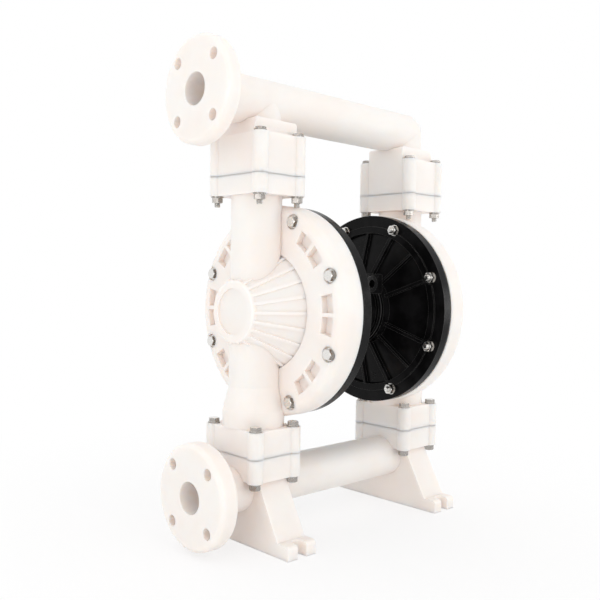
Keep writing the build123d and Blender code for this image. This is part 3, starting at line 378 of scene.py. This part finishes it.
def facing_group():
    """Mask of the faces square to an axis, such as the tops of bolt heads, where the steel takes a
    painted highlight.
    """
    tree, source, sink = node_group(
        "Facing",
        (("X share", "NodeSocketFloat", 1.0), ("Z share", "NodeSocketFloat", 1.0)),
        (("Mask", "NodeSocketFloat"),),
    )
    face = tree.nodes.new("ShaderNodeNewGeometry")
    split = tree.nodes.new("ShaderNodeSeparateXYZ")
    tree.links.new(face.outputs["Normal"], split.inputs["Vector"])
    shares = []
    for axis in ("X", "Z"):
        size = math_node(tree, "ABSOLUTE", split.outputs[axis])
        shares.append(math_node(tree, "MULTIPLY", size, source.outputs[axis + " share"]))
    stronger = math_node(tree, "MAXIMUM", *shares)
    tree.links.new(math_node(tree, "POWER", stronger, 2.0), sink.inputs["Mask"])
    return tree


def new_material(name):
    """An empty node material with its Principled shader; returns (material, tree, shader)."""
    material = bpy.data.materials.new(name)
    material.use_nodes = True
    tree = material.node_tree
    shader = tree.nodes["Principled BSDF"]
    return material, tree, shader


def place_group(tree, group, **values):
    """A group node in a material with its values set."""
    node = tree.nodes.new("ShaderNodeGroup")
    node.node_tree = bpy.data.node_groups[group]
    for key, value in values.items():
        node.inputs[key.replace("_", " ")].default_value = value
    return node


def overlay(tree, shader, mask, colour, share):
    """Lay a colour over what the shader's base colour has now, by a mask."""
    below = shader.inputs["Base Color"].links[0].from_socket
    mix = add_node(tree, "ShaderNodeMix", data_type="RGBA")
    tree.links.new(math_node(tree, "MULTIPLY", mask, share), mix.inputs["Factor"])
    tree.links.new(below, mix.inputs["A"])
    mix.inputs["B"].default_value = colour
    tree.links.new(mix.outputs["Result"], shader.inputs["Base Color"])


def bump(tree, shader, height, distance, strength=1.0):
    """Feed a height to the shader's normal."""
    node = add_node(tree, "ShaderNodeBump", Strength=strength, Distance=distance)
    tree.links.new(height, node.inputs["Height"])
    tree.links.new(node.outputs["Normal"], shader.inputs["Normal"])


def clouded_material(name, light, dark, cloud_size, roughness, spread, grain, grain_depth):
    """Clouded colour and grained skin, the base of most finishes here."""
    material, tree, shader = new_material(name)
    clouds = place_group(tree, "Clouds", Size=cloud_size, Light=light, Dark=dark,
                         Roughness=roughness, Roughness_spread=spread)
    tree.links.new(clouds.outputs["Colour"], shader.inputs["Base Color"])
    tree.links.new(clouds.outputs["Roughness"], shader.inputs["Roughness"])
    skin = place_group(tree, "Grain", Size=grain, Coarse_share=0.6)
    bump(tree, shader, skin.outputs["Height"], grain_depth)
    return material, tree, shader


def dress(node, material, edge_round=0.0, segments=2):
    """Give a CAD node its material and smooth faces, and round its edges as far as the mesh lets it."""
    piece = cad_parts[node]
    piece.data.materials.clear()
    piece.data.materials.append(material)
    piece.data.shade_smooth()
    piece.data.set_sharp_from_angle(angle=SMOOTH_ANGLE)
    if edge_round:
        rounding = piece.modifiers.new("rounded_edges", "BEVEL")
        rounding.width = edge_round
        rounding.segments = segments
        rounding.limit_method = "ANGLE"
        rounding.angle_limit = ROUNDED_ANGLE
        rounding.harden_normals = False
        rounding.use_clamp_overlap = True


def along(base, way):
    """Matrix that takes local Z to a direction, standing at base."""
    return Matrix.Translation(base) @ way.to_track_quat("Z", "Y").to_matrix().to_4x4()


def rings_to_faces(mesh, rings, closed):
    """Quads between neighbouring rings of vertices, back to the first ring if closed."""
    pairs = list(zip(rings, rings[1:])) + ([(rings[-1], rings[0])] if closed else [])
    for low, high in pairs:
        count = len(low)
        for k in range(count):
            mesh.faces.new((low[k], low[(k + 1) % count], high[(k + 1) % count], high[k]))


def hexagon(mesh, base, way, flats, height, bore, chamfered):
    """A hexagonal head or nut; chamfered says whether its near and far corners are turned off."""
    per_flat = 8
    turned_share = 0.96
    corner_fall = 0.577         # tangent of 30 degrees
    bore_chamfer = 0.0004
    count = 6 * per_flat
    spread = [2 * pi * k / count for k in range(count)]
    reach = [flats / 2 / cos(angle % (pi / 3) - pi / 6) for angle in spread]
    turned = flats / 2 * turned_share
    place = along(base, way)

    def ring(radii, heights):
        return [mesh.verts.new(place @ Vector((r * cos(a), r * sin(a), z)))
                for r, a, z in zip(radii, spread, heights)]

    drop = [(r - turned) * corner_fall for r in reach]
    rings = []
    if chamfered[0]:
        rings += [ring([turned] * count, [0.0] * count), ring(reach, drop)]
    else:
        rings += [ring(reach, [0.0] * count)]
    if chamfered[1]:
        rings += [ring(reach, [height - d for d in drop]), ring([turned] * count, [height] * count)]
    else:
        rings += [ring(reach, [height] * count)]
    if bore:
        for radius, level in ((bore + bore_chamfer, height), (bore, height - bore_chamfer),
                              (bore, bore_chamfer), (bore + bore_chamfer, 0.0)):
            rings.append(ring([radius] * count, [level] * count))
        rings_to_faces(mesh, rings, True)
    else:
        rings_to_faces(mesh, rings, False)
        mesh.faces.new(rings[-1])
        mesh.faces.new(list(reversed(rings[0])))


def stem(mesh, base, way, length, threaded, look):
    """A bolt's shank from under its head, its far end cut with a thread and chamfered."""
    steps = 20
    run_out = 8                 # steps over which the thread fades at each end
    sunk = 0.0005               # into the head, so that no gap shows
    root_overlap = 0.0002       # of the thread into the shank
    crest_flat = 0.06           # half the crest's flat, as a share of the pitch
    foot_reach = 0.46           # half the thread's foot, as a share of the pitch
    set_back = 0.0004           # of the thread from each end
    end_chamfer, end_height = 0.0006, 0.0003
    root = look.thread_radius - look.thread_depth
    place = along(base, way)
    start = length - threaded

    def point(radius, angle, height):
        return mesh.verts.new(place @ Vector((radius * cos(angle), radius * sin(angle), height)))

    def ring(radius, height):
        return [point(radius, 2 * pi * k / steps, height) for k in range(steps)]

    shape = ((look.thread_radius, -sunk), (look.thread_radius, start),
             (root, start + look.thread_depth), (root, length - end_height),
             (root - end_chamfer, length))
    rings = [ring(radius, height) for radius, height in shape]
    rings_to_faces(mesh, rings, False)
    mesh.faces.new(rings[-1])
    mesh.faces.new(list(reversed(rings[0])))

    turns = int((threaded - 2 * set_back) / look.pitch)
    half = look.pitch * foot_reach
    flat = look.pitch * crest_flat
    sections = []
    for k in range(turns * steps + 1):
        angle = 2 * pi * k / steps
        middle = length - set_back - half - look.pitch * (turns - k / steps)
        fade = min(1.0, (k + 2) / run_out, (turns * steps + 2 - k) / run_out)
        crest = root + look.thread_depth * fade
        profile = ((root - root_overlap, -half), (crest, -flat), (crest, flat),
                   (root - root_overlap, half))
        sections.append([point(radius, angle, middle + z) for radius, z in profile])
    rings_to_faces(mesh, sections, False)
    mesh.faces.new(sections[-1])
    mesh.faces.new(list(reversed(sections[0])))


def steel_piece(name, mesh, material, *nodes):
    """Make an object of a bmesh, in place of CAD nodes, riding on the casing."""
    bmesh.ops.recalc_face_normals(mesh, faces=mesh.faces)
    data = bpy.data.meshes.new(name)
    mesh.to_mesh(data)
    mesh.free()
    data.shade_smooth()
    data.set_sharp_from_angle(angle=STEEL_SMOOTH_ANGLE)
    data.materials.append(material)
    piece = bpy.data.objects.new(name, data)
    bpy.context.scene.collection.objects.link(piece)
    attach(piece, CASING)
    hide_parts(*nodes)


# ----------------------------------------------------------------- operators
class PUMP_OT_shared_effects(bpy.types.Operator):
    """Build the shader groups that the finishes share"""

    bl_idname = "pump.shared_effects"
    bl_label = "Shared effects"

    def execute(self, context):
        for build in (clouds_group, grain_group, seam_group, edge_group, recess_shade_group, facing_group):
            build()
        return {"FINISHED"}


class PUMP_OT_mouldings(bpy.types.Operator):
    """Finish the manifolds, fluid covers, plates and seats in natural polypropylene"""

    bl_idname = "pump.mouldings"
    bl_label = "Mouldings"

    def execute(self, context):
        look = context.scene.pump_moulding
        material, tree, shader = clouded_material(
            "natural_polypropylene", look.colour, look.shade, look.cloud_size,
            look.roughness, 0.10, 0.004, 0.00010)
        # Painted shade in pockets and corners, where shade falls, from an occlusion mask.
        recess_shade_mask = place_group(tree, "Recess shade", Reach=0.030)
        overlay(tree, shader, recess_shade_mask.outputs["Mask"], look.recess_shade, 0.35)
        # Painted shadow line at each joint between mouldings.
        for height in JOINT_HEIGHTS:
            seam = place_group(tree, "Seam", Height=height, Width=look.seam_width, Reach=SEAM_REACH)
            overlay(tree, shader, seam.outputs["Mask"], look.seam, 0.6)
        shader.inputs["Subsurface Weight"].default_value = 1.0
        shader.inputs["Subsurface Radius"].default_value = (1.0, 0.90, 0.80)
        shader.inputs["Subsurface Scale"].default_value = look.depth
        shader.inputs["IOR"].default_value = 1.49
        shader.inputs["Specular IOR Level"].default_value = 0.35
        for node in MOULDED_NODES:
            share = 2.0 if node.endswith("manifold") else 1.0
            dress(node, material, look.edge_round * share, 3)
        return {"FINISHED"}


class PUMP_OT_castings(bpy.types.Operator):
    """Finish the air chambers, centre block and air valve in gloss black paint"""

    bl_idname = "pump.castings"
    bl_label = "Castings"

    def execute(self, context):
        look = context.scene.pump_casting
        dusty = tuple(value * 2.2 for value in look.colour[:3]) + (1.0,)
        material, tree, shader = clouded_material(
            "black_enamel", look.colour, dusty, 0.03, look.roughness, 0.10, look.grain, 0.00007)
        # Painted highlight along every edge of the paint, hollow and convex.
        edges = place_group(tree, "Edges", Radius=0.0012, Strength=2.4)
        overlay(tree, shader, edges.outputs["Mask"], look.painted_light, 0.8)
        shader.inputs["IOR"].default_value = 1.19
        for node in CAST_NODES:
            dress(node, material, look.edge_round)
        return {"FINISHED"}


class PUMP_OT_fasteners(bpy.types.Operator):
    """Finish the bolts, nuts and washers in stainless steel and cut their threads"""

    bl_idname = "pump.fasteners"
    bl_label = "Fasteners"

    def execute(self, context):
        look = context.scene.pump_fastener
        painted_edge_shade = tuple(value * 0.8 for value in look.colour[:3]) + (1.0,)
        finishes = {}
        # Three copies of the steel, one for each way the bolts lie, so that the painted highlight falls
        # on their ends and painted shade on their flanks.
        for lie, level, upright in (("level", 1.0, 0.0), ("upright", 0.0, 1.0), ("any", 0.8, 0.8)):
            material, tree, shader = clouded_material(
                "stainless_steel_painted_shade_" + lie, look.flank_shade, look.flank_shade, 0.006,
                look.roughness, 0.14, 0.0008, 0.00002)
            # Painted highlight on the faces square to the bolt's axis, in the bright steel colour.
            lit_ends = place_group(tree, "Facing", X_share=level, Z_share=upright)
            overlay(tree, shader, lit_ends.outputs["Mask"], look.colour, 1.0)
            # Painted shade along the edges of heads and nuts.
            edges = place_group(tree, "Edges", Radius=0.0005, Strength=4.0)
            overlay(tree, shader, edges.outputs["Mask"], painted_edge_shade, 0.8)
            shader.inputs["Metallic"].default_value = 1.0
            finishes[lie] = material
        for node in WASHER_NODES:
            dress(node, finishes["level" if node == "cover_washers" else "upright"], look.edge_round)
        for node in SCREW_NODES:
            dress(node, finishes["any"], look.edge_round)

        flats, bore = look.across_flats, look.thread_radius
        shank = DISC_HEAD_FACE - DISC_NUT_FACE + look.nut_height + look.stub
        apart = 2 * pi / DISC_BOLT_COUNT
        angles = [apart * (step + 0.5) for step in range(DISC_BOLT_COUNT)]
        level = [(side, Vector((0.0, DISC_CIRCLE * cos(angle), PUMP_AXIS + DISC_CIRCLE * sin(angle))))
                 for side in (-1, 1) for angle in angles]
        upright = [Vector((riser + x, y, 0.0)) for riser in (-RISER, RISER)
                   for x in (-LOBE_X, LOBE_X) for y in (-LOBE_Y, LOBE_Y)]

        heads, nuts = bmesh.new(), bmesh.new()
        for side, centre in level:
            out = Vector((side, 0.0, 0.0))
            at_head, at_nut = centre + out * DISC_HEAD_FACE, centre + out * DISC_NUT_FACE
            hexagon(heads, at_head, out, flats, look.head_height, 0.0, (False, True))
            hexagon(nuts, at_nut, -out, flats, look.nut_height, bore, (True, True))
            stem(heads, at_head, -out, shank, look.nut_height + look.stub, look)
        steel_piece("cover_bolt_set", heads, finishes["level"], "cover_bolts")
        steel_piece("cover_nut_set", nuts, finishes["level"], "cover_nuts")

        heads, nuts = bmesh.new(), bmesh.new()
        way = Vector((0.0, 0.0, 1.0))
        for head, nut, thickness, shown in UPRIGHT_JOINTS:
            length = abs(head - nut) + look.nut_height + shown
            for centre in upright:
                at_head, at_nut = centre + Vector((0.0, 0.0, head)), centre + Vector((0.0, 0.0, nut))
                hexagon(heads, at_head, way, flats, thickness, 0.0, (False, True))
                hexagon(nuts, at_nut, -way, flats, look.nut_height, bore, (True, True))
                stem(heads, at_head, -way, length, look.nut_height + shown, look)
        steel_piece("joint_bolt_set", heads, finishes["upright"],
                    "upper_joint_bolts", "lower_joint_bolts")
        steel_piece("joint_nut_set", nuts, finishes["upright"], "joint_nuts")
        return {"FINISHED"}


class PUMP_OT_inner_parts(bpy.types.Operator):
    """Finish the diaphragms, seals, balls, rod, bushes, plates, spool and muffler"""

    bl_idname = "pump.inner_parts"
    bl_label = "Inner parts"

    def execute(self, context):
        for *finish, metallic, nodes in INNER_FINISHES:
            material, tree, shader = clouded_material(*finish)
            shader.inputs["Metallic"].default_value = metallic
            for node in nodes:
                dress(node, material)
        return {"FINISHED"}


def white_rays(tree):
    """1 for the rays that should meet a white background: seen directly, mirrored or through glass."""
    path = tree.nodes.new("ShaderNodeLightPath")
    mirrored = math_node(
        tree, "MAXIMUM", path.outputs["Is Glossy Ray"], path.outputs["Is Transmission Ray"])
    return math_node(tree, "MAXIMUM", path.outputs["Is Camera Ray"], mirrored)


def soft_box(name, place, target, size, power):
    """An area lamp at place, turned to its target."""
    data = bpy.data.lights.new(name, "AREA")
    data.shape = "RECTANGLE"
    data.size, data.size_y = size
    data.energy = power
    lamp = bpy.data.objects.new(name, data)
    lamp.location = place
    lamp.rotation_euler = (Vector(target) - Vector(place)).to_track_quat("-Z", "Y").to_euler()
    bpy.context.scene.collection.objects.link(lamp)


class PUMP_OT_stage(bpy.types.Operator):
    """Set up the camera, lamps, world and floor"""

    bl_idname = "pump.stage"
    bl_label = "Stage"

    def execute(self, context):
        stage = context.scene.pump_stage
        scene = context.scene
        scene.view_settings.view_transform = "Standard"

        data = bpy.data.cameras.new("camera")
        data.lens = stage.lens
        data.sensor_width = 36.0
        camera = bpy.data.objects.new("camera", data)
        scene.collection.objects.link(camera)
        scene.camera = camera
        ahead = Vector((
            cos(stage.yaw) * cos(stage.pitch), sin(stage.yaw) * cos(stage.pitch), -sin(stage.pitch)))
        level = Vector((sin(stage.yaw), -cos(stage.yaw), 0.0))
        above = level.cross(ahead)
        right = cos(stage.roll) * level + sin(stage.roll) * above
        up = cos(stage.roll) * above - sin(stage.roll) * level
        turn = Matrix((right, up, -ahead)).transposed().to_4x4()
        camera.matrix_world = Matrix.Translation(Vector(stage.place)) @ turn

        world = bpy.data.worlds.new("studio")
        scene.world = world
        world.use_nodes = True
        tree = world.node_tree
        background = tree.nodes["Background"]
        seen = white_rays(tree)
        strength = add_node(tree, "ShaderNodeMix", data_type="FLOAT")
        strength.inputs["A"].default_value = stage.fill
        strength.inputs["B"].default_value = 1.0
        tree.links.new(seen, strength.inputs["Factor"])
        background.inputs["Color"].default_value = (1.0, 1.0, 1.0, 1.0)
        tree.links.new(strength.outputs["Result"], background.inputs["Strength"])

        bpy.ops.mesh.primitive_plane_add(size=30.0, location=(0.0, 0.0, -0.0005))
        floor = context.active_object
        floor.name = "floor"
        material, tree, shader = new_material("paper_floor")
        shader.inputs["Base Color"].default_value = stage.floor_colour
        shader.inputs["Roughness"].default_value = 0.9
        shader.inputs["Specular IOR Level"].default_value = 0.1
        paper = tree.nodes.new("ShaderNodeEmission")
        paper.inputs["Color"].default_value = (1.0, 1.0, 1.0, 1.0)
        paper.inputs["Strength"].default_value = 1.0
        mix = tree.nodes.new("ShaderNodeMixShader")
        output = tree.nodes["Material Output"]
        place = tree.nodes.new("ShaderNodeTexCoord")
        away = add_node(tree, "ShaderNodeVectorMath", operation="LENGTH")
        tree.links.new(place.outputs["Object"], away.inputs[0])
        plain = add_node(tree, "ShaderNodeMapRange", interpolation_type="SMOOTHSTEP")
        for socket, value in (("From Min", 0.30), ("From Max", 1.0), ("To Min", 0.72), ("To Max", 1.0)):
            plain.inputs[socket].default_value = value
        tree.links.new(away.outputs["Value"], plain.inputs["Value"])
        white = math_node(tree, "MULTIPLY", white_rays(tree), plain.outputs["Result"])
        tree.links.new(white, mix.inputs["Fac"])
        tree.links.new(shader.outputs["BSDF"], mix.inputs[1])
        tree.links.new(paper.outputs["Emission"], mix.inputs[2])
        tree.links.new(mix.outputs["Shader"], output.inputs["Surface"])
        floor.data.materials.append(material)

        for name, place, size, share in LAMPS:
            soft_box(name, place, LAMP_TARGET, size, stage.lamp_power * share)
        return {"FINISHED"}


class PUMP_PT_panel(bpy.types.Panel):
    """Lists the settings and steps of the pump's finish"""

    bl_idname = "PUMP_PT_panel"
    bl_label = "Diaphragm pump"
    bl_space_type = "VIEW_3D"
    bl_region_type = "UI"
    bl_category = "Pump"

    def draw(self, context):
        layout = self.layout
        for heading, group, operators in PANEL_ROWS:
            box = layout.box()
            box.label(text=heading)
            if group:
                settings = getattr(context.scene, group)
                for name in settings.bl_rna.properties.keys():
                    if name not in ("rna_type", "name"):
                        box.prop(settings, name)
            for operator in operators:
                box.operator(operator)


PANEL_ROWS = (
    ("Shared effects", "", ("pump.shared_effects",)),
    ("Mouldings", "pump_moulding", ("pump.mouldings",)),
    ("Castings", "pump_casting", ("pump.castings",)),
    ("Fasteners", "pump_fastener", ("pump.fasteners",)),
    ("Inner parts", "", ("pump.inner_parts",)),
    ("Stage", "pump_stage", ("pump.stage",)),
)
SETTINGS = {
    "pump_moulding": PumpMouldingSettings,
    "pump_casting": PumpCastingSettings,
    "pump_fastener": PumpFastenerSettings,
    "pump_stage": PumpStageSettings,
}
CLASSES = (
    *SETTINGS.values(), PUMP_OT_shared_effects, PUMP_OT_mouldings, PUMP_OT_castings,
    PUMP_OT_fasteners, PUMP_OT_inner_parts, PUMP_OT_stage, PUMP_PT_panel,
)


def register():
    for cls in CLASSES:
        bpy.utils.register_class(cls)
    for name, cls in SETTINGS.items():
        setattr(bpy.types.Scene, name, bpy.props.PointerProperty(type=cls))


def unregister():
    for name in SETTINGS:
        delattr(bpy.types.Scene, name)
    for cls in reversed(CLASSES):
        bpy.utils.unregister_class(cls)


def main():
    register()
    bpy.ops.pump.shared_effects()
    bpy.ops.pump.mouldings()
    bpy.ops.pump.castings()
    bpy.ops.pump.fasteners()
    bpy.ops.pump.inner_parts()
    bpy.ops.pump.stage()


if __name__ == "__main__":
    main()
